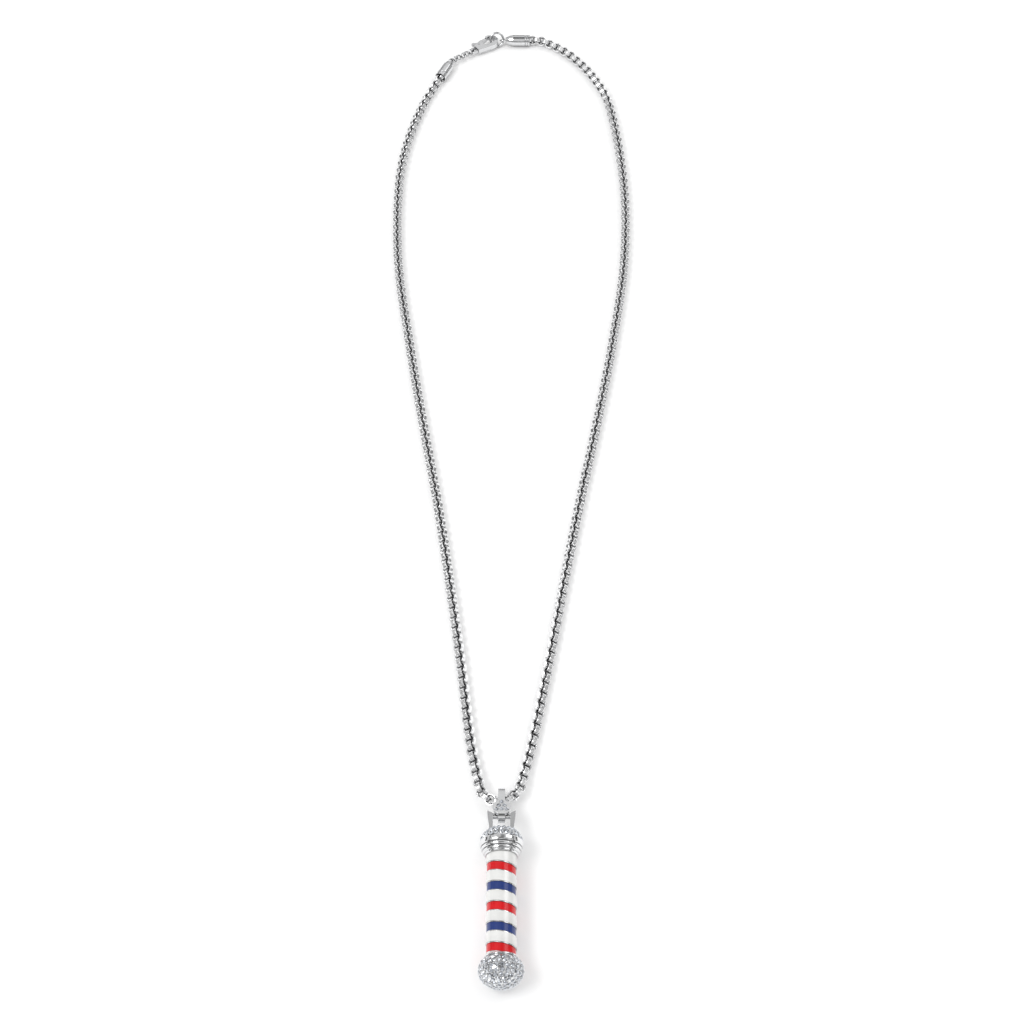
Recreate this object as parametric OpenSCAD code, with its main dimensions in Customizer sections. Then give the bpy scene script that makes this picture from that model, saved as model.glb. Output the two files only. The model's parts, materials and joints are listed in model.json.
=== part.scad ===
// Barber-pole pendant on a rounded box chain with end caps, a lobster clasp and a jump ring.
// Lies flat on z = 0. +Y runs from the pendant to the clasp, +Z up. Units: millimetres.

/* [Chain link] */
// Outer radius of one round link
link_outer = 1.49; // [1.2:0.01:2]
// Inner radius of one round link
link_inner = 0.905; // [0.7:0.005:1.4]
// Half width of the band at its widest
link_half = 0.62; // [0.4:0.01:0.9]
// Half width of the band on the links round the bail
bend_half = 0.54; // [0.4:0.01:0.9]
// Length of chain either side of the bail that has the narrower links
bend_reach = 11.5; // [5:0.5:20]
// Spacing wanted between neighbouring link centres
link_pitch = 1.55; // [1.3:0.01:2]
// Height of the chain axis above the table
chain_z = 1.57; // [1.4:0.01:2]
// How far the chain rises where it runs through the bail
bail_lift = 1.75; // [0.8:0.05:2]

/* [Chain folds] */
// First fold line, measured along Y
fold_y0 = -100; // [-104:1:-90]
// Distance between fold lines
fold_step = 31; // [24:0.5:34]

/* [Pendant] */
// Position of the pendant axis across the chain
pend_x = -2.3; // [-3:0.05:-1]
// Y of the yoke crossbar
pend_y = -124.2; // [-126:0.1:-121]
// Height of the pendant axis above the table
pend_z = 5.606; // [5.4:0.001:6.5]
// Radius of the pole core
core_r = 3.3; // [2.8:0.05:3.6]
// Radius of the raised white enamel
white_r = 3.8; // [3.4:0.05:4.2]
// Radius of the recessed coloured enamel
colour_r = 3.6; // [3.3:0.05:4]
// Radius of the metal fins between enamels
fin_r = 3.72; // [3.4:0.02:4]
// Width of one coloured band
band_w = 2.15; // [1.5:0.05:3]
// Distance between neighbouring coloured bands
band_step = 5.2; // [4:0.05:7]
// Slope of the coloured bands
band_tilt = -9; // [-30:0.5:30]
// Width of one metal fin
fin_w = 0.2; // [0.1:0.02:0.4]
// Greatest radius of the stone-set cap
cap_r = 5.2; // [4.5:0.05:6.5]
// Greatest radius of the stone-set ball
ball_r = 5.33; // [4.5:0.02:6.5]
// Half height of the ball
ball_h = 4.15; // [4:0.05:6]
// Radius of one stone
stone_r = 0.54; // [0.4:0.01:0.8]
// Distance between stone centres
stone_gap = 1.3; // [1.2:0.01:1.8]

/* [Bail and yoke] */
// Inner radius of the bail around the chain
bail_in = 2.0; // [1.8:0.05:2.5]
// How far the bail reaches past the middle of the chain
bail_over = 1.2; // [0:0.05:2]
// Inner radius of the bail around the crossbar
bail_tip = 1.05; // [0.85:0.05:1.5]
// Thickness of the bail strap
bail_t = 0.65; // [0.4:0.05:1]
// Width of the bail strap
bail_w = 1.75; // [1.2:0.1:2.4]
// Radius of the yoke crossbar
bar_r = 0.75; // [0.5:0.05:1]

/* [Clasp and caps] */
// X of the clasp tail eye
clasp_x = -12.45; // [-14:0.05:-11]
// Y of the clasp tail eye
clasp_y = 161.9; // [158:0.05:164]
// Direction the clasp points, from +X
clasp_dir = 38; // [20:1:50]
// Thickness of the clasp body
clasp_t = 1.7; // [1.2:0.1:2.4]
// X of the jump ring centre
ring_x = -4.85; // [-6:0.05:-4]
// Y of the jump ring centre
ring_y = 167.1; // [164:0.05:168]
// Centre-line radius of the jump ring
ring_r = 2.2; // [1.8:0.05:2.6]
// Wire radius of the jump ring
ring_w = 0.38; // [0.3:0.01:0.5]
// Lean of the jump ring out of the table plane
ring_tilt = 55; // [30:1:80]
// Outside radius of the end caps
endcap_r = 1.85; // [1.7:0.05:2.2]
// Length of an end cap
endcap_len = 8.2; // [6:0.1:10]

/* [Hidden] */
$fn = 64;
steel = [0.78, 0.79, 0.81];
gem = [0.9, 0.93, 0.96];
// offset of the whole necklace on the table
table_shift = [-0.125, 0.37, 0];

// ---- shared helpers
module place(point) translate(point + table_shift) children();

// a flat outline made into a plate, centred on z = 0
module plate(thickness) translate([0, 0, -thickness / 2]) linear_extrude(thickness) children();

module wire_ring(radius, wire_r, sides = 32)
  rotate_extrude() translate([radius, 0]) circle(wire_r, $fn = sides);

// outline that narrows from one round end at the origin to the other on +X
module taper_outline(r1, r2, length) {
  lean = (r1 - r2) / length;
  side = sqrt(1 - lean * lean);
  circle(r1);
  translate([length, 0]) circle(r2);
  polygon([[r1 * lean, r1 * side], [length + r2 * lean, r2 * side],
    [length + r2 * lean, -r2 * side], [r1 * lean, -r1 * side]]);
}

// ---- the line the chain follows, from the left end cap round the bail to the right end cap
bend_r = 4.8;
bend_x = -3.0;
bend_y = -114.1;
// [x, y] of each guide point
LEFT_ARM = [[-23.1, 149.9], [-28.7, 137], [-33.6, 118.5], [-35.8, 99], [-34.9, 66], [-30.4, 33],
  [-25.4, 2], [-20.6, -26], [-16.6, -53], [-13.2, -78], [-10.4, -101]];
BEND = [for (a = [190 : 20 : 310]) [bend_x + bend_r * cos(a), bend_y + bend_r * sin(a)]];
RIGHT_ARM = [[1.95, -115.5], [3.2, -111.0], [5.6, -101], [10, -78], [14.4, -53], [19.3, -26],
  [24.9, 2.5], [30.4, 33], [35, 66], [36, 99], [32.3, 136.5], [27.4, 149.2], [20.7, 159],
  [14.6, 164.5], [10.2, 166.7], [4.9, 167]];
GUIDE = concat(LEFT_ARM, BEND, RIGHT_ARM);
guide_last = len(GUIDE) - 1;

// distance travelled along a path at each of its points
function path_lengths(path) = [for (i = 0, total = 0; i < len(path); i = i + 1,
  total = i < len(path) ? total + norm(path[i] - path[i - 1]) : total) total];

// smooth cubic curve through the guide points
KNOT = path_lengths(GUIDE);
function chord_slope(i, j) = (GUIDE[j] - GUIDE[i]) / (KNOT[j] - KNOT[i]);
function slope(i) = chord_slope(max(i - 1, 0), min(i + 1, guide_last));
function curve_point(i, u) = let (h = KNOT[i + 1] - KNOT[i])
  (2*u*u*u - 3*u*u + 1) * GUIDE[i] + (u*u*u - 2*u*u + u) * h * slope(i)
  + (3*u*u - 2*u*u*u) * GUIDE[i + 1] + (u*u*u - u*u) * h * slope(i + 1);
steps = 20; // curve steps between neighbouring guide points
LINE = [for (i = [0 : guide_last - 1], k = [0 : steps - 1]) curve_point(i, k / steps),
  GUIDE[guide_last]];
ARC = path_lengths(LINE);
line_last = len(LINE) - 1;
X_ALONG = [for (i = [0 : line_last]) [ARC[i], LINE[i][0]]];
Y_ALONG = [for (i = [0 : line_last]) [ARC[i], LINE[i][1]]];

mid = (len(LEFT_ARM) + 4) * steps; // lowest point of the bend
right_top = (len(LEFT_ARM) + len(BEND) + 10) * steps; // above the last fold
mid_along = ARC[mid];
end_along = ARC[line_last];

// spans between folds; the tables give distance along the line from y on each side
LEFT_FROM_Y = [for (i = [0 : mid]) [LINE[mid - i][1], ARC[mid - i]]];
RIGHT_FROM_Y = [for (i = [mid : right_top]) [LINE[i][1], ARC[i]]];
function fold_y(k) = fold_y0 + k * fold_step;
last_span_links = 26;
// span limits: left end, eight left folds, eight right folds, a split, right end
SPAN = concat([0],
  [for (k = [7 : -1 : 0]) lookup(fold_y(k), LEFT_FROM_Y)],
  [for (k = [0 : 7]) lookup(fold_y(k), RIGHT_FROM_Y)],
  [end_along - last_span_links * link_pitch, end_along]);
span_count = len(SPAN) - 1;
centre_span = 8;
centre_stretch = 1.03; // links sit a little further apart where the chain bends hard
COUNT = [for (k = [0 : span_count - 1])
  round((SPAN[k + 1] - SPAN[k]) / (link_pitch * (k == centre_span ? centre_stretch : 1)))];
// number of links before each span
FIRST = [for (k = 0, c = 0; k < span_count; c = c + COUNT[k], k = k + 1) c];

// height of the line: it rises through the bail, and a little to the middle of each end cap
bail_along = mid_along + pend_x - bend_x;
lift_reach = 17;
cap_lift = 0.35;
cap_level = 2; // length at each end that is fully raised
cap_fade = 9; // length over which that rise dies away
end_z = chain_z + cap_lift;
function lift(along) = abs(along - bail_along) > lift_reach ? 0
  : bail_lift * pow(cos(90 * (along - bail_along) / lift_reach), 2);
function near_cap(along) =
  let (u = min(1, max(0, (min(along, end_along - along) - cap_level) / cap_fade)))
  1 - u * u * (3 - 2 * u);
function line_point(along) = [lookup(along, X_ALONG), lookup(along, Y_ALONG),
  chain_z + lift(along) + cap_lift * near_cap(along)];

// how far the links are rolled about the line
// [distance from the right end, roll]
END_ROLL = [[0, 55], [12, 57], [26, 62], [48, 45]];
end_roll_reach = 50;
plain_roll = 45;
bend_unroll = 18; // roll taken off at the bend
bend_unroll_reach = 90;
function roll(along) = along > end_along - end_roll_reach
  ? lookup(end_along - along, END_ROLL)
  : plain_roll - bend_unroll * max(0, 1 - abs(along - mid_along) / bend_unroll_reach);

// ---- chain
edge_in = 0.265; // inset of the inner side of the flat edge
bevel_in = 0.115; // inset of its outer side, where the bevel starts
bevel_h = 0.16;
inner_share = 0.4; // width at the bore as a share of the full width
module link(half) {
  rotate_extrude() polygon([
    [link_inner, -inner_share * half], [link_outer - edge_in, -half],
    [link_outer - bevel_in, -half], [link_outer, bevel_h - half],
    [link_outer, half - bevel_h], [link_outer - bevel_in, half],
    [link_outer - edge_in, half], [link_inner, inner_share * half]]);
}

aim_reach = 0.35; // the line is sampled this far either side to aim a link
module place_link(along, odd, half) {
  run = line_point(min(along + aim_reach, end_along)) - line_point(max(along - aim_reach, 0));
  place(line_point(along))
    rotate([0, 0, atan2(run[1], run[0])])
      rotate([0, -atan2(run[2], norm([run[0], run[1]])), 0])
        rotate([roll(along) + (odd ? 90 : 0), 0, 0]) link(half);
}

module chain_span(k) {
  pitch = (SPAN[k + 1] - SPAN[k]) / COUNT[k];
  color(steel) for (j = [0 : COUNT[k] - 1]) {
    along = SPAN[k] + (j + 0.5) * pitch;
    place_link(along, (FIRST[k] + j) % 2 == 1,
      abs(along - mid_along) < bend_reach ? bend_half : link_half);
  }
}
module chain_centre() chain_span(centre_span);
module chain_left_01() chain_span(7);
module chain_left_02() chain_span(6);
module chain_left_03() chain_span(5);
module chain_left_04() chain_span(4);
module chain_left_05() chain_span(3);
module chain_left_06() chain_span(2);
module chain_left_07() chain_span(1);
module chain_left_08() chain_span(0);
module chain_right_01() chain_span(9);
module chain_right_02() chain_span(10);
module chain_right_03() chain_span(11);
module chain_right_04() chain_span(12);
module chain_right_05() chain_span(13);
module chain_right_06() chain_span(14);
module chain_right_07() chain_span(15);
module chain_right_08() chain_span(16);
module chain_right_09() chain_span(17);

// ---- stones: short girdle, sloping crown, flat table, seated at local z = 0
module brilliant(r) rotate_extrude() polygon([[0, 0], [r, 0], [r, r * 0.5],
  [r * 0.55, r * 0.95], [0, r * 0.95]]);
seat_gap = 0.01; // radial gap round a stone
seat_float = 0.005; // gap under a stone
seat_depth = 0.25;
seat_cut = 1.5;
module stone_seat() translate([0, 0, -seat_depth])
  cylinder(r = stone_r + seat_gap, h = seat_cut);
module seated_stone() translate([0, 0, seat_float - seat_depth]) brilliant(stone_r);
// how many stones fit round a circle
function stones_round(radius) = floor(360 / (2 * asin(stone_gap / 2 / radius)));

// ---- bail: local x from the chain to the crossbar, local z up out of the strap's front
bail_at = line_point(bail_along);
bail_len = norm([pend_y - bail_at[1], pend_z - bail_at[2]]);
bail_rise = atan2(pend_z - bail_at[2], bail_at[1] - pend_y);
bail_slant = asin((bail_in - bail_tip) / (bail_len + bail_over));
disc_x = 4.35; // centre of the round front plate
disc_r = 2.3;
// stones on the front plate, [along, across]
BAIL_STONES = [[2.65, 0], [3.8, -0.72], [3.8, 0.72], [4.95, 0], [5.0, -1.3], [5.0, 1.3]];
bail_stone_r = 0.53;
bail_seat_depth = 0.2;

module at_bail() place([pend_x, bail_at[1], bail_at[2]])
  rotate([-bail_rise, 0, 0]) rotate([0, 0, -90]) children();
module bail_outline(grow) translate([-bail_over, 0])
  taper_outline(bail_in + grow, bail_tip + grow, bail_len + bail_over);
module bail_ring(width) rotate([90, 0, 0]) plate(width) difference() {
  bail_outline(bail_t);
  bail_outline(0);
}
// height of the sloping front face at x
function bail_front(x) =
  (bail_in + bail_t - (x + bail_over) * sin(bail_slant)) / cos(bail_slant);
module at_bail_stones(rise) for (p = BAIL_STONES)
  translate([p[0], p[1], bail_front(p[0]) + rise]) rotate([0, bail_slant, 0]) children();
module bail() color(steel) at_bail() difference() {
  union() {
    bail_ring(bail_w);
    intersection() {
      bail_ring(2 * disc_r);
      translate([disc_x, 0, 0]) cylinder(r = disc_r, h = 6);
    }
  }
  at_bail_stones(-bail_seat_depth) cylinder(r = bail_stone_r + seat_gap, h = 1);
}
module bail_stones() color(gem) at_bail()
  at_bail_stones(seat_float - bail_seat_depth) brilliant(bail_stone_r);

// ---- pendant: local z runs from the crossbar down the pole to the ball
module at_pend() place([pend_x, pend_y, pend_z]) rotate([90, 0, 0]) children();
cap_z0 = 4.1; // top of the cap
cap_z1 = 7.1; // lower end of its dome
pole_z0 = 10.9;
pole_z1 = 36.8;
ball_z = 40.2;
ball_top = 37.6;
core_in_cap = 0.5;
core_in_ball = 1;

bar_len = 5.8;
arm_t = 1.7;
// side arm, [across, local z]
YOKE_ARM = [[2.15, -0.45], [2.55, -0.8], [3.55, -1.25], [3.5, 0.2], [2.95, cap_z0],
  [2.15, cap_z0]];
module yoke() color(steel) at_pend() {
  translate([-bar_len / 2, 0, 0]) rotate([0, 90, 0]) cylinder(r = bar_r, h = bar_len);
  for (m = [0, 1]) mirror([m, 0, 0]) difference() {
    rotate([90, 0, 0]) plate(arm_t) polygon(YOKE_ARM);
    // keeps the arm clear of the cap
    translate([0, 0, cap_z0 + 1]) cube([12, 12, 2], center = true);
  }
}

// dome of the cap, as radius at a given local z
dome_centre = cap_z1 + 0.3;
dome_h = 4.19;
function cap_rad(z) = cap_r * sqrt(max(0, 1 - pow((dome_centre - z) / dome_h, 2)));
function cap_slope(z) = atan2(cap_rad(z + 0.05) - cap_rad(z - 0.05), 0.1);
// [local z, turn in stone spacings] of each row of stones
CAP_ROWS = [[4.5, 0], [5.4, 0.5], [6.49, 0]];
// stepped rims below the dome, [radius, local z]
CAP_RIMS = [[5.42, 7.2], [5.5, 7.4], [5.48, 8.1], [5.38, 8.4], [5.2, 8.6], [4.95, 8.65],
  [4.95, 8.75], [5.1, 8.85], [5.14, 9.1], [5.06, 9.35], [4.9, 9.5], [4.62, 9.55], [4.62, 9.65],
  [4.74, 9.75], [4.76, 9.95], [4.68, 10.18], [4.52, 10.35], [4.3, 10.4], [4.3, 10.7]];
socket_r = core_r + 0.05;
module at_cap_stones() for (row = CAP_ROWS) {
  n = stones_round(cap_rad(row[0]));
  for (i = [0 : n - 1]) rotate([0, 0, (i + row[1]) * 360 / n])
    translate([cap_rad(row[0]), 0, row[0]]) rotate([0, 90 + cap_slope(row[0]), 0]) children();
}
module top_cap() color(steel) at_pend() difference() {
  rotate_extrude() polygon(concat(
    [[0, cap_z0]],
    [for (z = [cap_z0 : 0.5 : cap_z1 - 0.1]) [cap_rad(z), z]],
    [[cap_rad(cap_z1), cap_z1]],
    CAP_RIMS,
    [[4.1, pole_z0], [socket_r, pole_z0], [socket_r, pole_z0 - core_in_cap],
      [0, pole_z0 - core_in_cap]]));
  at_cap_stones() stone_seat();
}
module cap_stones() color(gem) at_pend() at_cap_stones() seated_stone();

// ---- pole with sloping enamel bands
band_z0 = 14.8;
fin_gap = 0.01; // gap at each end of the pole
enamel_gap = 0.02; // gap round each enamel piece
function band_z(i) = band_z0 + i * band_step;
// a slab between two sloping planes, crossing the whole pole
module slab(z, width) translate([0, 0, z]) rotate([0, band_tilt, 0])
  translate([0, 0, -width / 2]) cylinder(r = 12, h = width);
module enamel_tube(r) {
  length = pole_z1 - pole_z0 - 2 * enamel_gap;
  translate([0, 0, pole_z0 + enamel_gap]) difference() {
    cylinder(r = r, h = length);
    translate([0, 0, -1]) cylinder(r = core_r, h = length + 2);
  }
}
module pole_core() color(steel) at_pend() {
  translate([0, 0, pole_z0 - core_in_cap])
    cylinder(r = core_r, h = ball_top + core_in_ball - pole_z0 + core_in_cap);
  for (i = [0 : 4]) for (side = [-1, 1]) intersection() {
    translate([0, 0, pole_z0 + fin_gap])
      cylinder(r = fin_r, h = pole_z1 - pole_z0 - 2 * fin_gap);
    slab(band_z(i) + side * (band_w + fin_w) / 2 / cos(band_tilt), fin_w);
  }
}
module enamel_white() color([0.95, 0.95, 0.93]) at_pend() difference() {
  enamel_tube(white_r);
  for (i = [0 : 4]) slab(band_z(i), band_w + 2 * fin_w + 2 * enamel_gap);
}
module enamel_band(i) intersection() {
  enamel_tube(colour_r);
  slab(band_z(i), band_w - 2 * enamel_gap);
}
module enamel_red() color([0.8, 0.05, 0.08]) at_pend() for (i = [0, 2, 4]) enamel_band(i);
module enamel_blue() color([0.08, 0.16, 0.5]) at_pend() for (i = [1, 3]) enamel_band(i);

// collar between the pole and the ball, with a raised ring at its pole end
collar_gap = 0.01;
collar_in = core_r + collar_gap;
collar_r = 3.95;
collar_ring_r = 4.15;
module collar() color(steel) at_pend() rotate_extrude() polygon([
  [collar_in, pole_z1 + collar_gap], [collar_r, pole_z1 + collar_gap],
  [collar_ring_r, pole_z1 + 0.2], [collar_ring_r, pole_z1 + 0.4], [collar_r, pole_z1 + 0.6],
  [collar_r, ball_top - collar_gap], [collar_in, ball_top - collar_gap]]);

// ---- ball: angles run from its widest circle, positive towards the lowest point
function ball_rad(a) = ball_r * cos(a);
function ball_at(a) = ball_z + ball_h * sin(a);
ball_a0 = asin((ball_top - ball_z) / ball_h);
ball_steps = 14;
// rows of stones, evenly spaced along the curve from just below the collar to the lowest point
row_a0 = -27;
last_row = 8;
// [distance along the curve, angle]
BALL_CURVE = [for (a = row_a0, s = 0; a <= 90; a = a + 1,
  s = s + norm([ball_r * sin(a), ball_h * cos(a)]) * PI / 180) [s, a]];
curve_len = BALL_CURVE[len(BALL_CURVE) - 1][0];
module at_ball_stones() for (k = [0 : last_row]) {
  a = lookup(k / last_row * curve_len, BALL_CURVE);
  n = k == last_row ? 1 : stones_round(ball_rad(a));
  facing = atan2(ball_r * sin(a), ball_h * cos(a));
  for (i = [0 : n - 1]) rotate([0, 0, (i + (k % 2) * 0.5) * 360 / n])
    translate([ball_rad(a), 0, ball_at(a)]) rotate([0, 90 - facing, 0]) children();
}
module ball() color(steel) at_pend() difference() {
  rotate_extrude() polygon(concat(
    [[0, ball_top + core_in_ball], [collar_in, ball_top + core_in_ball], [collar_in, ball_top]],
    [for (k = [0 : ball_steps - 1]) let (a = ball_a0 + (90 - ball_a0) * k / ball_steps)
      [ball_rad(a), ball_at(a)]],
    [[0, ball_z + ball_h]]));
  at_ball_stones() stone_seat();
}
module ball_stones() color(gem) at_pend() at_ball_stones() seated_stone();

// ---- end caps: local x runs out of the chain mouth towards the eye
// one groove, [change in radius, distance along]
GROOVE = [[0, 0], [-0.12, 0.1], [-0.12, 0.25], [0, 0.35]];
GROOVE_STARTS = [0.5, 1.3];
mouth_r = 1.66;
mouth_depth = 3.2;
cap_over = 1.4; // length of chain line inside each cap
cap_eye_x = endcap_len + 0.75;
module end_cap(eye_turn) {
  difference() {
    rotate([0, 90, 0]) rotate_extrude() polygon(concat(
      [[0, 0], [endcap_r, 0]],
      [for (start = GROOVE_STARTS, p = GROOVE) [endcap_r + p[0], start + p[1]]],
      [[endcap_r, endcap_len - 2.6], [endcap_r - 0.35, endcap_len - 1.2], [0.9, endcap_len],
        [0, endcap_len]]));
    translate([-1, 0, 0]) rotate([0, 90, 0]) cylinder(r = mouth_r, h = mouth_depth + 1);
  }
  translate([cap_eye_x, 0, 0]) rotate([eye_turn, 0, 0]) wire_ring(0.93, 0.28);
}
function heading(from, to) = atan2(to[1] - from[1], to[0] - from[0]);
function cap_mouth(along) = let (p = line_point(along)) [p[0], p[1], end_z];
left_dir = heading(line_point(3), line_point(0));
right_dir = heading(line_point(end_along - 3), line_point(end_along));
left_mouth = cap_mouth(cap_over);
module end_cap_left() color(steel) place(left_mouth) rotate([0, 0, left_dir]) end_cap(0);
module end_cap_right() color(steel) place(cap_mouth(end_along - cap_over))
  rotate([0, 0, right_dir]) end_cap(35);

// ---- small joining links between the left cap and the clasp tail
left_eye = left_mouth + cap_eye_x * [cos(left_dir), sin(left_dir), 0];
clasp_at = [clasp_x, clasp_y, end_z];
join_count = 5;
join_wire = 0.26;
join_overlap = 0.6;
// slack between the first link's wire and the middle of the cap's eye, and at the clasp's eye
cap_slack = 0.15;
clasp_slack = 0.28;
join_r = (norm(clasp_at - left_eye) - cap_slack - clasp_slack
  + join_overlap * (join_count - 1)) / (2 * join_count);
join_step = 2 * join_r - join_overlap;
module clasp_links() color(steel) place(left_eye) rotate([0, 0, heading(left_eye, clasp_at)])
  for (i = [0 : join_count - 1]) translate([cap_slack + join_r + i * join_step, 0, 0])
    rotate([i % 2 == 0 ? 90 : 0, 0, 0]) wire_ring(join_r, join_wire);

// ---- lobster clasp: local x from the tail eye to the nose, the trigger along the +y edge
module at_clasp() place(clasp_at) rotate([0, 0, clasp_dir]) children();
tail_r = 1.2;
tail_t = 0.7;
tail_eye_r = 0.7;
nose_r = 2.6;
clasp_len = 6.9; // between the centres of the round ends
pivot = [2.75, 1.05];
cut_h = 6; // height of cuts that pass right through
trigger_t = 0.84;
// [x, y] of the trigger's outline
TRIGGER = [[1.9, 0.6], [3.2, 0.35], [4.6, 1.0], [6.4, 1.45], [6.4, 2.3], [5.6, 2.4],
  [4.0, 2.1], [3.0, 1.85], [1.7, 3.0], [0.9, 2.9], [0.85, 2.4], [1.55, 1.7]];
module at_pivot(z) translate([pivot[0], pivot[1], z]) children();
module pivot_hole(r) at_pivot(-cut_h / 2) cylinder(r = r, h = cut_h);
module clasp_body() color(steel) at_clasp() difference() {
  union() {
    plate(clasp_t) difference() {
      taper_outline(tail_r, nose_r, clasp_len);
      translate([-3, -3]) square([3.9, 6]);
    }
    // thinner tail round the eye
    plate(tail_t) union() {
      circle(tail_r);
      translate([0, -1.15]) square([1.4, 2.3]);
    }
  }
  translate([0, 0, -cut_h / 2]) cylinder(r = tail_eye_r, h = cut_h);
  // opening that holds the jump ring, and the mouth the trigger closes
  plate(cut_h) {
    translate([5.1, 0]) rotate(12) taper_outline(1.0, 1.5, 2.05);
    translate([4.5, 0.4]) square([2, 3]);
  }
  // slot the trigger works in
  translate([1.3, -0.25, -0.5]) cube([3.6, 4, 1.0]);
  pivot_hole(0.36);
}
module clasp_trigger() color(steel) at_clasp() difference() {
  plate(trigger_t) polygon(TRIGGER);
  pivot_hole(0.37);
  // recess for the spring
  at_pivot(-0.5) cylinder(r = 0.62, h = 0.4);
}
rivet_proud = 0.06;
module clasp_rivet() color(steel) at_clasp()
  at_pivot(-clasp_t / 2 - rivet_proud) cylinder(r = 0.33, h = clasp_t + 2 * rivet_proud);
module clasp_spring() color(steel) at_clasp()
  for (z = [-0.4, -0.28]) at_pivot(z) wire_ring(0.49, 0.075, 24);

// ---- jump ring, leaning on its lowest point, with a fine split
ring_clear = 0.03;
split_angle = 70;
split_w = 0.12;
module jump_ring() color(steel)
  place([ring_x, ring_y, ring_r * sin(ring_tilt) + ring_w + ring_clear])
    rotate([ring_tilt, 0, 0]) difference() {
      wire_ring(ring_r, ring_w);
      rotate([0, 0, split_angle]) translate([ring_r, 0, 0])
        cube([2, split_w, 2], center = true);
    }

chain_centre();
chain_left_01();
chain_left_02();
chain_left_03();
chain_left_04();
chain_left_05();
chain_left_06();
chain_left_07();
chain_left_08();
chain_right_01();
chain_right_02();
chain_right_03();
chain_right_04();
chain_right_05();
chain_right_06();
chain_right_07();
chain_right_08();
chain_right_09();
bail();
bail_stones();
yoke();
top_cap();
cap_stones();
pole_core();
enamel_white();
enamel_red();
enamel_blue();
collar();
ball();
ball_stones();
end_cap_left();
end_cap_right();
clasp_links();
clasp_body();
clasp_trigger();
clasp_rivet();
clasp_spring();
jump_ring();
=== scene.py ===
"""Looks for the barber-pole necklace: materials on the CAD nodes, cut stones, setting beads, floor, light, camera."""
import json
import math

import bpy
import numpy as np
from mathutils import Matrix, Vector

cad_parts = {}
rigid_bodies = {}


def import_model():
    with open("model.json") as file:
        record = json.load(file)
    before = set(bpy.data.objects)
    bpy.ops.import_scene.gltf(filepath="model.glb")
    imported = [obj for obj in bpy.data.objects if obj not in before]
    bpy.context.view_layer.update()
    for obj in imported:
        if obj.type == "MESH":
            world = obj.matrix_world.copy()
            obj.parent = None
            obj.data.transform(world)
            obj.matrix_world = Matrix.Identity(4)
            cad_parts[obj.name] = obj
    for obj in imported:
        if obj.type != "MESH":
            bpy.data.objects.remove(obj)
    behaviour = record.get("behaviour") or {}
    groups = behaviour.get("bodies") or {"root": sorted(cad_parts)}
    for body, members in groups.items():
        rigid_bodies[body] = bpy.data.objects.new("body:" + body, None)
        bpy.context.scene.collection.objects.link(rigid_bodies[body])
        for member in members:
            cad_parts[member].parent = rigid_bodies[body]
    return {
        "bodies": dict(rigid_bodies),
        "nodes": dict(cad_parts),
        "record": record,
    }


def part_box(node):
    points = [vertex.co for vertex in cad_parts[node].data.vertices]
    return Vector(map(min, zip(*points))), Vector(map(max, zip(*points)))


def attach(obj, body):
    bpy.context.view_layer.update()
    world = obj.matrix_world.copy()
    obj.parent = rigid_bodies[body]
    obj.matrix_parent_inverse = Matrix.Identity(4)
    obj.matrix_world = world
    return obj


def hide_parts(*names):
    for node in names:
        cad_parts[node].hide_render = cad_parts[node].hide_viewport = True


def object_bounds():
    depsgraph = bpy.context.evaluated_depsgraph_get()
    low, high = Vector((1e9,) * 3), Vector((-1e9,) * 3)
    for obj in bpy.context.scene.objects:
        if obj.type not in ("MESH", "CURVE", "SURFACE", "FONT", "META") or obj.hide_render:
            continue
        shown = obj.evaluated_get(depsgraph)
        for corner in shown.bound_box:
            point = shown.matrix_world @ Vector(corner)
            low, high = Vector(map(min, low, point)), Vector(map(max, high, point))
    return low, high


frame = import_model()
cad_lo, cad_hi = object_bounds()
nodes = frame["nodes"]
MM = 0.001
scene = bpy.context.scene


# ------------------------------------------------------------------ node helpers
class Tree:
    """Small helper that adds and links shader nodes."""

    def __init__(self, tree):
        self.t = tree
        self.t.nodes.clear()

    def add(self, kind, **values):
        n = self.t.nodes.new(kind)
        for k, v in values.items():
            if hasattr(n, k) and k not in n.inputs:
                setattr(n, k, v)
            else:
                n.inputs[k].default_value = v
        return n

    def link(self, a, b):
        self.t.links.new(a, b)

    def ramp(self, source, stops, interpolation="LINEAR"):
        n = self.t.nodes.new("ShaderNodeValToRGB")
        n.color_ramp.interpolation = interpolation
        e = n.color_ramp.elements
        while len(e) < len(stops):
            e.new(0.5)
        for el, (p, c) in zip(e, stops):
            el.position = p
            el.color = (c, c, c, 1) if isinstance(c, (int, float)) else (*c, 1)
        self.link(source, n.inputs["Fac"])
        return n.outputs["Color"]

    def spread(self, source, lo, hi, a=0.0, b=1.0):
        n = self.add("ShaderNodeMapRange")
        n.inputs["From Min"].default_value = a
        n.inputs["From Max"].default_value = b
        n.inputs["To Min"].default_value = lo
        n.inputs["To Max"].default_value = hi
        self.link(source, n.inputs["Value"])
        return n.outputs["Result"]

    def maths(self, op, a, b=None):
        n = self.add("ShaderNodeMath", operation=op)
        for i, x in enumerate((a, b)):
            if x is None:
                continue
            if isinstance(x, (int, float)):
                n.inputs[i].default_value = x
            else:
                self.link(x, n.inputs[i])
        return n.outputs[0]

    def mix(self, fac, a, b, blend="MIX"):
        n = self.add("ShaderNodeMix", data_type="RGBA", blend_type=blend)
        for sock, x in ((n.inputs[0], fac), (n.inputs[6], a), (n.inputs[7], b)):
            if isinstance(x, (int, float)):
                sock.default_value = x if sock.type == "VALUE" else (x, x, x, 1)
            elif isinstance(x, tuple):
                sock.default_value = (*x, 1)
            else:
                self.link(x, sock)
        return n.outputs[2]


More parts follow.
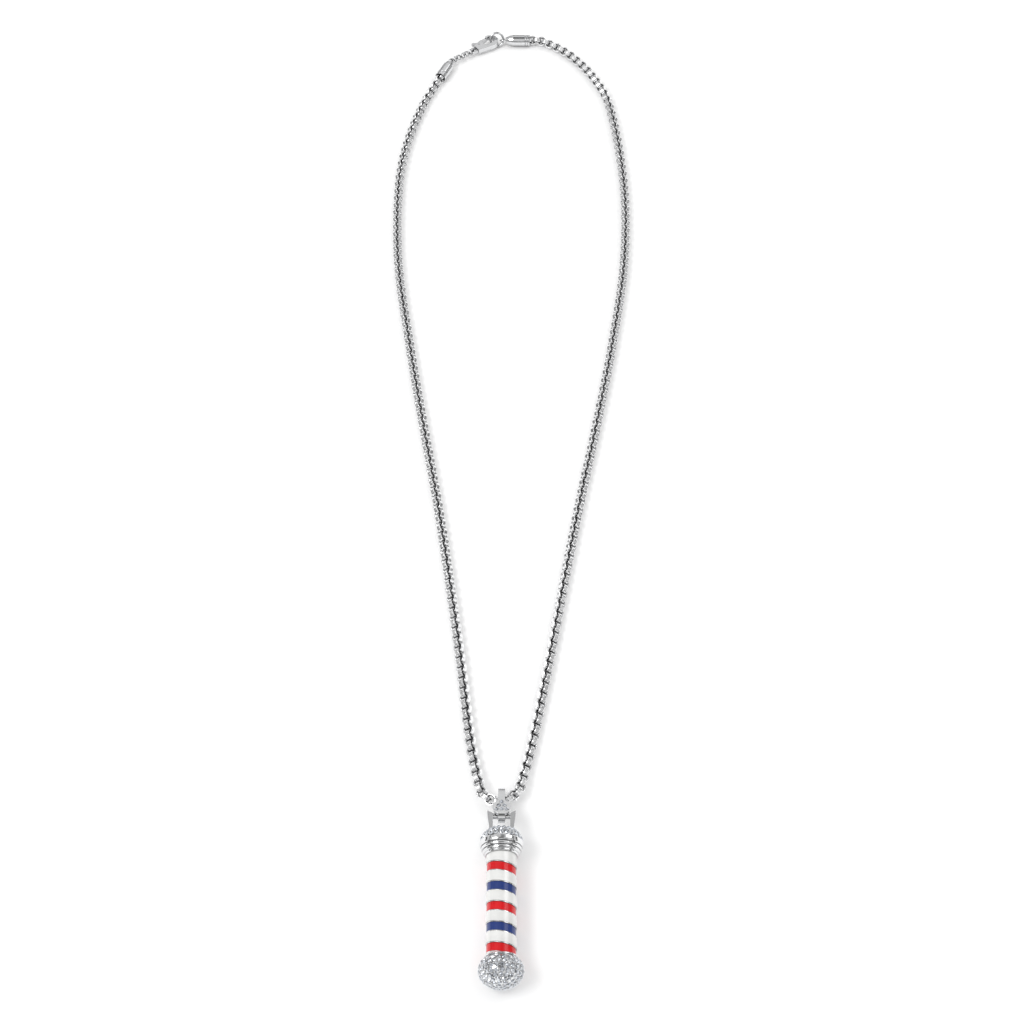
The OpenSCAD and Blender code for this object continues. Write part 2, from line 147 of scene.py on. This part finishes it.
def new_material(name):
    m = bpy.data.materials.new(name)
    m.use_nodes = True
    t = Tree(m.node_tree)
    out = t.add("ShaderNodeOutputMaterial")
    bsdf = t.add("ShaderNodeBsdfPrincipled")
    t.link(bsdf.outputs[0], out.inputs[0])
    coord = t.add("ShaderNodeTexCoord").outputs["Object"]
    return m, t, bsdf, coord


def noise(t, coord, scale, detail=2.0, rough=0.5):
    n = t.add("ShaderNodeTexNoise")
    n.inputs["Scale"].default_value = scale
    n.inputs["Detail"].default_value = detail
    n.inputs["Roughness"].default_value = rough
    t.link(coord, n.inputs["Vector"])
    return n


def silver(name, tint, recess_shade, rough, bevel, reach, ripple=0.05, shade_falloff=0.55):
    """Polished plate: soft edges, fine polishing marks, faint ripple of the casting, and painted shade: ambient
    occlusion darkens the base colour towards a shade colour in the recesses and gaps.
    """
    m, t, b, co = new_material(name)
    ao = t.add("ShaderNodeAmbientOcclusion", samples=6)
    ao.inputs["Distance"].default_value = reach * MM
    open_ = t.spread(ao.outputs["AO"], 0.0, 1.0, 0.30, shade_falloff + 0.15)
    cloud = noise(t, co, 420.0, 3.0)
    tone = t.spread(cloud.outputs["Fac"], 0.93, 1.04, 0.3, 0.7)
    # painted shade: occluded spots take the shade colour in place of the plate's tint; the same mask also makes
    # recesses rougher
    base = t.mix(open_, recess_shade, tint)
    base = t.mix(1.0, base, t.ramp(tone, [(0.0, 0.0), (1.0, 1.0)]), "MULTIPLY")
    t.link(base, b.inputs["Base Color"])
    b.inputs["Metallic"].default_value = 1.0
    smear = noise(t, co, 1500.0, 4.0, 0.6)
    t.link(t.maths("ADD", t.spread(smear.outputs["Fac"], rough * 0.6, rough * 1.5, 0.3, 0.7),
                   t.spread(open_, 0.22, 0.0)), b.inputs["Roughness"])
    bev = t.add("ShaderNodeBevel", samples=5)
    bev.inputs["Radius"].default_value = bevel * MM
    bump = t.add("ShaderNodeBump")
    bump.inputs["Strength"].default_value = ripple
    bump.inputs["Distance"].default_value = 0.05 * MM
    wave = noise(t, co, 900.0, 2.0)
    t.link(wave.outputs["Fac"], bump.inputs["Height"])
    t.link(bev.outputs["Normal"], bump.inputs["Normal"])
    fine = t.add("ShaderNodeBump")
    fine.inputs["Strength"].default_value = 0.05
    fine.inputs["Distance"].default_value = 0.01 * MM
    marks = noise(t, co, 9000.0, 2.0)
    t.link(marks.outputs["Fac"], fine.inputs["Height"])
    t.link(bump.outputs["Normal"], fine.inputs["Normal"])
    t.link(fine.outputs["Normal"], b.inputs["Normal"])
    return m


def enamel(name, edge_shade, light, sink=0.35, coat=1.0, gloss=0.5):
    """Poured glossy enamel: painted shade darkens the colour at its edges and in recesses through ambient occlusion,
    a faint orange-peel under a clear coat.
    """
    m, t, b, co = new_material(name)
    ao = t.add("ShaderNodeAmbientOcclusion", samples=6)
    ao.inputs["Distance"].default_value = sink * MM
    edge = t.spread(ao.outputs["AO"], 0.0, 1.0, 0.45, 0.95)
    cloud = noise(t, co, 350.0, 3.0)
    body = t.mix(t.spread(cloud.outputs["Fac"], 0.0, 1.0, 0.35, 0.65),
                 tuple(0.90 * c for c in light), light)
    # painted shade: where ambient occlusion finds a recess the colour turns to the darker edge colour
    t.link(t.mix(edge, edge_shade, body), b.inputs["Base Color"])
    speck = noise(t, co, 5000.0, 2.0)
    t.link(t.spread(speck.outputs["Fac"], 0.16, 0.30, 0.3, 0.7), b.inputs["Roughness"])
    b.inputs["IOR"].default_value = 1.52
    b.inputs["Specular IOR Level"].default_value = gloss
    b.inputs["Coat Weight"].default_value = coat
    b.inputs["Coat Roughness"].default_value = 0.035
    b.inputs["Subsurface Weight"].default_value = 0.0
    bev = t.add("ShaderNodeBevel", samples=5)
    bev.inputs["Radius"].default_value = 0.12 * MM
    bump = t.add("ShaderNodeBump")
    bump.inputs["Strength"].default_value = 0.10
    bump.inputs["Distance"].default_value = 0.05 * MM
    peel = noise(t, co, 700.0, 2.0)
    t.link(peel.outputs["Fac"], bump.inputs["Height"])
    t.link(bev.outputs["Normal"], bump.inputs["Normal"])
    t.link(bump.outputs["Normal"], b.inputs["Normal"])
    t.link(bump.outputs["Normal"], b.inputs["Coat Normal"])
    return m


def crystal(name):
    """Foil-backed rhinestone: mirror-bright facets, with the back facets shown as small tilted cells; the base colour
    is the foil's own pale silver near each cell's centre and a painted reflection, darker grey, towards its rim.
    """
    m, t, b, co = new_material(name)
    cells = t.add("ShaderNodeTexVoronoi", feature="F1")
    cells.inputs["Scale"].default_value = 1500.0
    t.link(co, cells.inputs["Vector"])
    tilt = t.add("ShaderNodeVectorMath", operation="SUBTRACT")
    t.link(cells.outputs["Color"], tilt.inputs[0])
    tilt.inputs[1].default_value = (0.5, 0.5, 0.5)
    amount = t.add("ShaderNodeVectorMath", operation="SCALE")
    t.link(tilt.outputs[0], amount.inputs[0])
    amount.inputs["Scale"].default_value = 0.16
    geo = t.add("ShaderNodeNewGeometry")
    add = t.add("ShaderNodeVectorMath", operation="ADD")
    t.link(geo.outputs["Normal"], add.inputs[0])
    t.link(amount.outputs[0], add.inputs[1])
    norm = t.add("ShaderNodeVectorMath", operation="NORMALIZE")
    t.link(add.outputs[0], norm.inputs[0])
    t.link(norm.outputs[0], b.inputs["Normal"])
    t.link(geo.outputs["Normal"], b.inputs["Coat Normal"])
    # painted reflection: each cell's base colour darkens from the foil's pale silver to grey away from its centre
    t.link(t.mix(t.spread(cells.outputs["Distance"], 0.0, 1.0, 0.1, 0.7), (0.89, 0.91, 0.94), (0.50, 0.53, 0.58)),
           b.inputs["Base Color"])
    b.inputs["Metallic"].default_value = 0.9
    b.inputs["Roughness"].default_value = 0.04
    b.inputs["Coat Weight"].default_value = 1.0
    b.inputs["Coat Roughness"].default_value = 0.01
    b.inputs["Coat IOR"].default_value = 1.7
    return m


MATERIALS = {
    # painted shade: the second colour in each silver call is laid into recesses and gaps by ambient occlusion
    "chain_steel": silver("chain_silver", (0.96, 0.963, 0.97), (0.05, 0.05, 0.055), 0.20, 0.12, 0.7, 0.05, 0.78),
    "pendant_steel": silver("pendant_silver", (0.82, 0.825, 0.835), (0.03, 0.03, 0.035), 0.08, 0.10, 0.9, 0.08),
    "fitting_steel": silver("fitting_silver", (0.74, 0.745, 0.755), (0.04, 0.04, 0.045), 0.16, 0.14, 1.4, 0.12, 0.70),
    "spring_wire": silver("spring_steel", (0.70, 0.71, 0.73), (0.10, 0.10, 0.11), 0.18, 0.03, 0.5, 0.02),
    "stones": crystal("rhinestone"),
    # painted shade: the first colour in each enamel call is laid into recesses and band edges by ambient occlusion
    "white_enamel": enamel("enamel_white_gloss", (0.55, 0.55, 0.53), (0.82, 0.82, 0.805)),
    "red_enamel": enamel("enamel_red_gloss", (0.10, 0.001, 0.002), (0.69, 0.004, 0.009), 0.5, 0.45, 0.2),
    "blue_enamel": enamel("enamel_blue_gloss", (0.003, 0.005, 0.025), (0.018, 0.044, 0.205), 0.5, 0.45, 0.2),
}
SLOT = {s["node"]: s["material_slot"] for s in frame["record"]["subparts"]}
for name, o in nodes.items():
    for s in o.material_slots:
        s.material = MATERIALS[SLOT[name]]


# ------------------------------------------------------------------ cut stones
def islands(o):
    """Groups of vertices joined by edges (coincident ones counted as one), as arrays of points."""
    m = o.data
    co = np.empty(len(m.vertices) * 3, np.float64)
    m.vertices.foreach_get("co", co)
    co = co.reshape(-1, 3)
    key = np.round(co / 1e-7).astype(np.int64)
    _, back = np.unique(key, axis=0, return_inverse=True)
    back = back.ravel()
    parent = np.arange(back.max() + 1)

    def find(i):
        while parent[i] != i:
            parent[i] = parent[parent[i]]
            i = parent[i]
        return i

    ed = np.empty(len(m.edges) * 2, np.int64)
    m.edges.foreach_get("vertices", ed)
    for a, b in back[ed.reshape(-1, 2)]:
        ra, rb = find(a), find(b)
        if ra != rb:
            parent[rb] = ra
    label = np.array([find(i) for i in back])
    return [co[label == l] for l in np.unique(label)]


def seats(node, outward):
    """(base centre, axis, radius, height) of every stone in a node; outward(point) says which way is out."""
    found = []
    for p in islands(nodes[node]):
        p = np.unique(np.round(p / 1e-7).astype(np.int64), axis=0) * 1e-7
        c = (p.min(0) + p.max(0)) / 2
        w, v = np.linalg.eigh(np.cov((p - p.mean(0)).T))
        best = None
        for k in range(3):
            axis = v[:, k]
            h = np.ptp(p @ axis)
            side = p - np.outer(p @ axis, axis)
            mid = (side.min(0) + side.max(0)) / 2
            r = np.linalg.norm(side - mid, axis=1).max()
            odd = abs(np.linalg.norm(side - side.mean(0), axis=1).max() - r) + abs(h - 0.95 * r)
            if best is None or odd < best[0]:
                best = (odd, axis, r, h)
        _, axis, r, h = best
        if axis @ outward(c) < 0:
            axis = -axis
        s = p @ axis
        low = p[s < s.min() + 1e-6]
        ring = p[s < s.min() + 0.3 * h]
        centre = ring.mean(0) if len(ring) > 8 else low.mean(0)
        side = p - np.outer(s, axis)
        centre = side.mean(0) + axis * s.min()
        found.append((centre, axis, r, h))
    found.sort(key=lambda f: tuple(np.round(f[0], 6)))
    return found


def basis(axis):
    a = Vector(axis)
    x = a.orthogonal().normalized()
    return np.array(x), np.array(a.cross(x).normalized())


def brilliant(verts, faces, seat, turn):
    """A round cut stone: base, girdle, sixteen upper girdle facets, eight kites, eight stars and the table."""
    c, a, r, h = seat
    x, y = basis(a)
    at = lambda rad, ang, z: tuple(c + a * z + (x * math.cos(ang) + y * math.sin(ang)) * rad)
    n0 = len(verts)
    step = math.pi / 8
    verts += [at(r * 0.96, turn + i * step, 0.0) for i in range(16)]
    verts += [at(r, turn + i * step, h * 0.42) for i in range(16)]
    verts += [at(r, turn + i * step, h * 0.50) for i in range(16)]
    verts += [at(r * 0.79, turn + (i + 0.5) * 2 * step, h * 0.80) for i in range(8)]
    verts += [at(r * 0.54, turn + i * 2 * step, h) for i in range(8)]
    B, G, U, K, T = n0, n0 + 16, n0 + 32, n0 + 48, n0 + 56
    faces.append([B + 15 - i for i in range(16)])
    for i in range(16):
        j = (i + 1) % 16
        faces.append([B + i, B + j, G + j, G + i])
        faces.append([G + i, G + j, U + j, U + i])
    for i in range(8):
        u0, u1, u2 = U + 2 * i, U + 2 * i + 1, U + (2 * i + 2) % 16
        faces.append([u0, u1, K + i])
        faces.append([u1, u2, K + i])
        faces.append([T + i, K + (i - 1) % 8, u0, K + i])
        faces.append([T + i, K + i, T + (i + 1) % 8])
    faces.append([T + i for i in range(8)])


def bead(verts, faces, centre, axis, r):
    """A small raised grain of metal, taller than a half ball and closed below."""
    x, y = basis(axis)
    n0 = len(verts)
    rows, cols = 5, 10
    for k in range(rows):
        th = math.radians(125) * (1 - k / rows)
        verts += [tuple(centre + axis * r * math.cos(th)
                        + (x * math.cos(2 * math.pi * i / cols) + y * math.sin(2 * math.pi * i / cols)) * r * math.sin(th))
                  for i in range(cols)]
    verts.append(tuple(centre + axis * r))
    top = n0 + rows * cols
    for k in range(rows - 1):
        for i in range(cols):
            j = (i + 1) % cols
            faces.append([n0 + k * cols + i, n0 + k * cols + j, n0 + (k + 1) * cols + j, n0 + (k + 1) * cols + i])
    for i in range(cols):
        faces.append([n0 + (rows - 1) * cols + i, n0 + (rows - 1) * cols + (i + 1) % cols, top])
    faces.append([n0 + cols - 1 - i for i in range(cols)])


def piece(name, verts, faces, material, body, smooth=False):
    me = bpy.data.meshes.new(name)
    me.from_pydata(verts, [], faces)
    me.validate()
    if smooth:
        me.shade_smooth()
    o = bpy.data.objects.new(name, me)
    scene.collection.objects.link(o)
    me.materials.append(MATERIALS[material])
    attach(o, body)
    return o


pend_box = [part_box(n) for n in ("ball", "top_cap")]
axis_x = (pend_box[0][0].x + pend_box[0][1].x) / 2
axis_z = (pend_box[1][0].z + pend_box[1][1].z) / 2
ball_mid = np.array(((pend_box[0][0] + pend_box[0][1]) / 2))
bail_mid = np.array((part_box("bail")[0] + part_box("bail")[1]) / 2)


def from_axis(p):
    return np.array([p[0] - axis_x, 0.0, p[2] - axis_z]) if p[1] > ball_mid[1] + 0.01 else p - ball_mid


def from_bail(p):
    return np.array([0.0, 0.0, 1.0])


def set_stones(node, body, outward, beads=True, reach=1.95):
    found = seats(node, outward)
    verts, faces = [], []
    for k, s in enumerate(found):
        brilliant(verts, faces, s, 0.4 * (k % 5))
    o = piece(node + "_cut", verts, faces, "stones", body)
    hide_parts(node)
    if not beads:
        return found
    # a grain of metal where three neighbouring stones leave room
    pts = np.array([s[0] + s[1] * 0.245 * MM for s in found])
    spots = []
    for i in range(len(pts)):
        near = [j for j in range(i + 1, len(pts)) if np.linalg.norm(pts[j] - pts[i]) < reach * MM]
        for a in range(len(near)):
            for b in range(a + 1, len(near)):
                if np.linalg.norm(pts[near[a]] - pts[near[b]]) < reach * MM:
                    tri = (i, near[a], near[b])
                    c = pts[list(tri)].mean(0)
                    free = np.linalg.norm(pts - c, axis=1).min() - found[i][2]
                    n = sum(found[q][1] for q in tri)
                    spots.append((free, c, n / np.linalg.norm(n)))
    spots.sort(key=lambda q: -q[0])
    kept = []
    for free, c, n in spots:
        if free < 0.10 * MM or any(np.linalg.norm(c - q[1]) < 0.42 * MM for q in kept):
            continue
        kept.append((free, c, n))
    verts, faces = [], []
    for free, c, n in kept:
        r = min(0.21 * MM, free * 1.05)
        bead(verts, faces, c + n * 0.10 * MM, n, r)
    if verts:
        piece(node.replace("stones", "grains"), verts, faces, "pendant_steel", body, True)
    return found


set_stones("ball_stones", "pendant", from_axis)
set_stones("cap_stones", "pendant", from_axis)
set_stones("bail_stones", "bail", from_bail, beads=False)

# ------------------------------------------------------------------ floor
me = bpy.data.meshes.new("floor")
half = 3.0
me.from_pydata([(-half, -half, -0.00002), (half, -half, -0.00002), (half, half, -0.00002), (-half, half, -0.00002)], [], [[0, 1, 2, 3]])
floor = bpy.data.objects.new("floor", me)
scene.collection.objects.link(floor)
m, t, b, co = new_material("floor_pale")
soft = noise(t, co, 6.0, 2.0)
t.link(t.mix(soft.outputs["Fac"], (0.93, 0.93, 0.93), (0.95, 0.95, 0.95)), b.inputs["Base Color"])
b.inputs["Roughness"].default_value = 0.9
b.inputs["Specular IOR Level"].default_value = 0.1
b.inputs["Emission Color"].default_value = (1.0, 1.0, 1.0, 1.0)
b.inputs["Emission Strength"].default_value = 0.12
me.materials.append(m)

# the table sinks clear of any part that swings below it, so nothing is drawn through it at a pose
sink = floor.driver_add("location", 2).driver
sink.type = "MIN"
for body, empty in frame["bodies"].items():
    own = [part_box(n) for n, o in nodes.items() if o.parent is empty]
    if not own:
        continue
    low = Vector(map(min, *[b[0] for b in own])) if len(own) > 1 else own[0][0]
    high = Vector(map(max, *[b[1] for b in own])) if len(own) > 1 else own[0][1]
    for i, y in enumerate((low.y, high.y)):
        for j, z in enumerate((low.z, high.z)):
            probe = bpy.data.objects.new("floor_probe_%s_%d%d" % (body, i, j), None)
            scene.collection.objects.link(probe)
            probe.empty_display_size = 0.001
            probe.parent = empty
            probe.location = ((low.x + high.x) / 2, y, z - cad_lo.z)
            var = sink.variables.new()
            var.type = "TRANSFORMS"
            var.targets[0].id = probe
            var.targets[0].transform_type = "LOC_Z"
            var.targets[0].transform_space = "WORLD_SPACE"

# ------------------------------------------------------------------ light
world = bpy.data.worlds.new("studio")
scene.world = world
world.use_nodes = True
t = Tree(world.node_tree)
out = t.add("ShaderNodeOutputWorld")
co = t.add("ShaderNodeTexCoord").outputs["Generated"]
sep = t.add("ShaderNodeSeparateXYZ")
t.link(co, sep.inputs[0])
# a studio of pale walls with darker gaps between the lamps, seen only in reflections
rise = t.ramp(t.spread(sep.outputs["Z"], 0.0, 1.0, -1.0, 1.0), [
    (0.00, 0.75), (0.50, 0.45), (0.515, 0.05), (0.57, 0.06), (0.60, 0.55), (0.69, 0.80), (0.715, 0.14),
    (0.74, 0.12), (0.76, 0.75), (0.87, 0.90), (0.95, 0.72), (0.972, 0.66), (0.982, 0.20)])
patch = noise(t, co, 1.7, 1.0)
gap = t.ramp(patch.outputs["Fac"], [(0.0, 0.30), (0.34, 0.38), (0.41, 0.88), (1.0, 1.0)])
glossy = t.mix(1.0, rise, gap, "MULTIPLY")
lp = t.add("ShaderNodeLightPath")
bg = t.add("ShaderNodeBackground")
t.link(t.mix(lp.outputs["Is Glossy Ray"], (1.0, 1.0, 1.0), glossy), bg.inputs["Color"])
t.link(t.spread(lp.outputs["Is Glossy Ray"], 0.76, 1.05), bg.inputs["Strength"])
t.link(bg.outputs[0], out.inputs[0])


def lamp(name, place, aim, size, watts):
    d = bpy.data.lights.new(name, "AREA")
    d.shape = "RECTANGLE"
    d.size, d.size_y = size
    d.energy = watts
    o = bpy.data.objects.new(name, d)
    scene.collection.objects.link(o)
    o.location = place
    o.rotation_mode = "QUATERNION"
    o.rotation_quaternion = (Vector(aim) - Vector(place)).to_track_quat("-Z", "Y")
    return o


lamp("key", (-0.55, -0.25, 0.85), (0, 0, 0), (0.55, 0.35), 3.4)
lamp("fill", (0.6, 0.35, 0.75), (0, 0, 0), (0.5, 0.5), 1.2)

# ------------------------------------------------------------------ camera
cam_data = bpy.data.cameras.new("camera")
cam = bpy.data.objects.new("camera", cam_data)
scene.collection.objects.link(cam)
cam_data.sensor_width = 36.0
cam_data.lens = 66.0
cam_data.clip_start, cam_data.clip_end = 0.01, 20.0
target = Vector((0.175, -27.13, 0.0)) * MM
el = math.radians(55.0)
cam.location = target + Vector((0.0, -math.cos(el), math.sin(el))) * 528.7 * MM
cam.rotation_mode = "QUATERNION"
cam.rotation_quaternion = (target - cam.location).to_track_quat("-Z", "Y")
scene.camera = cam
scene.view_settings.view_transform = "Standard"
scene.view_settings.look = "None"
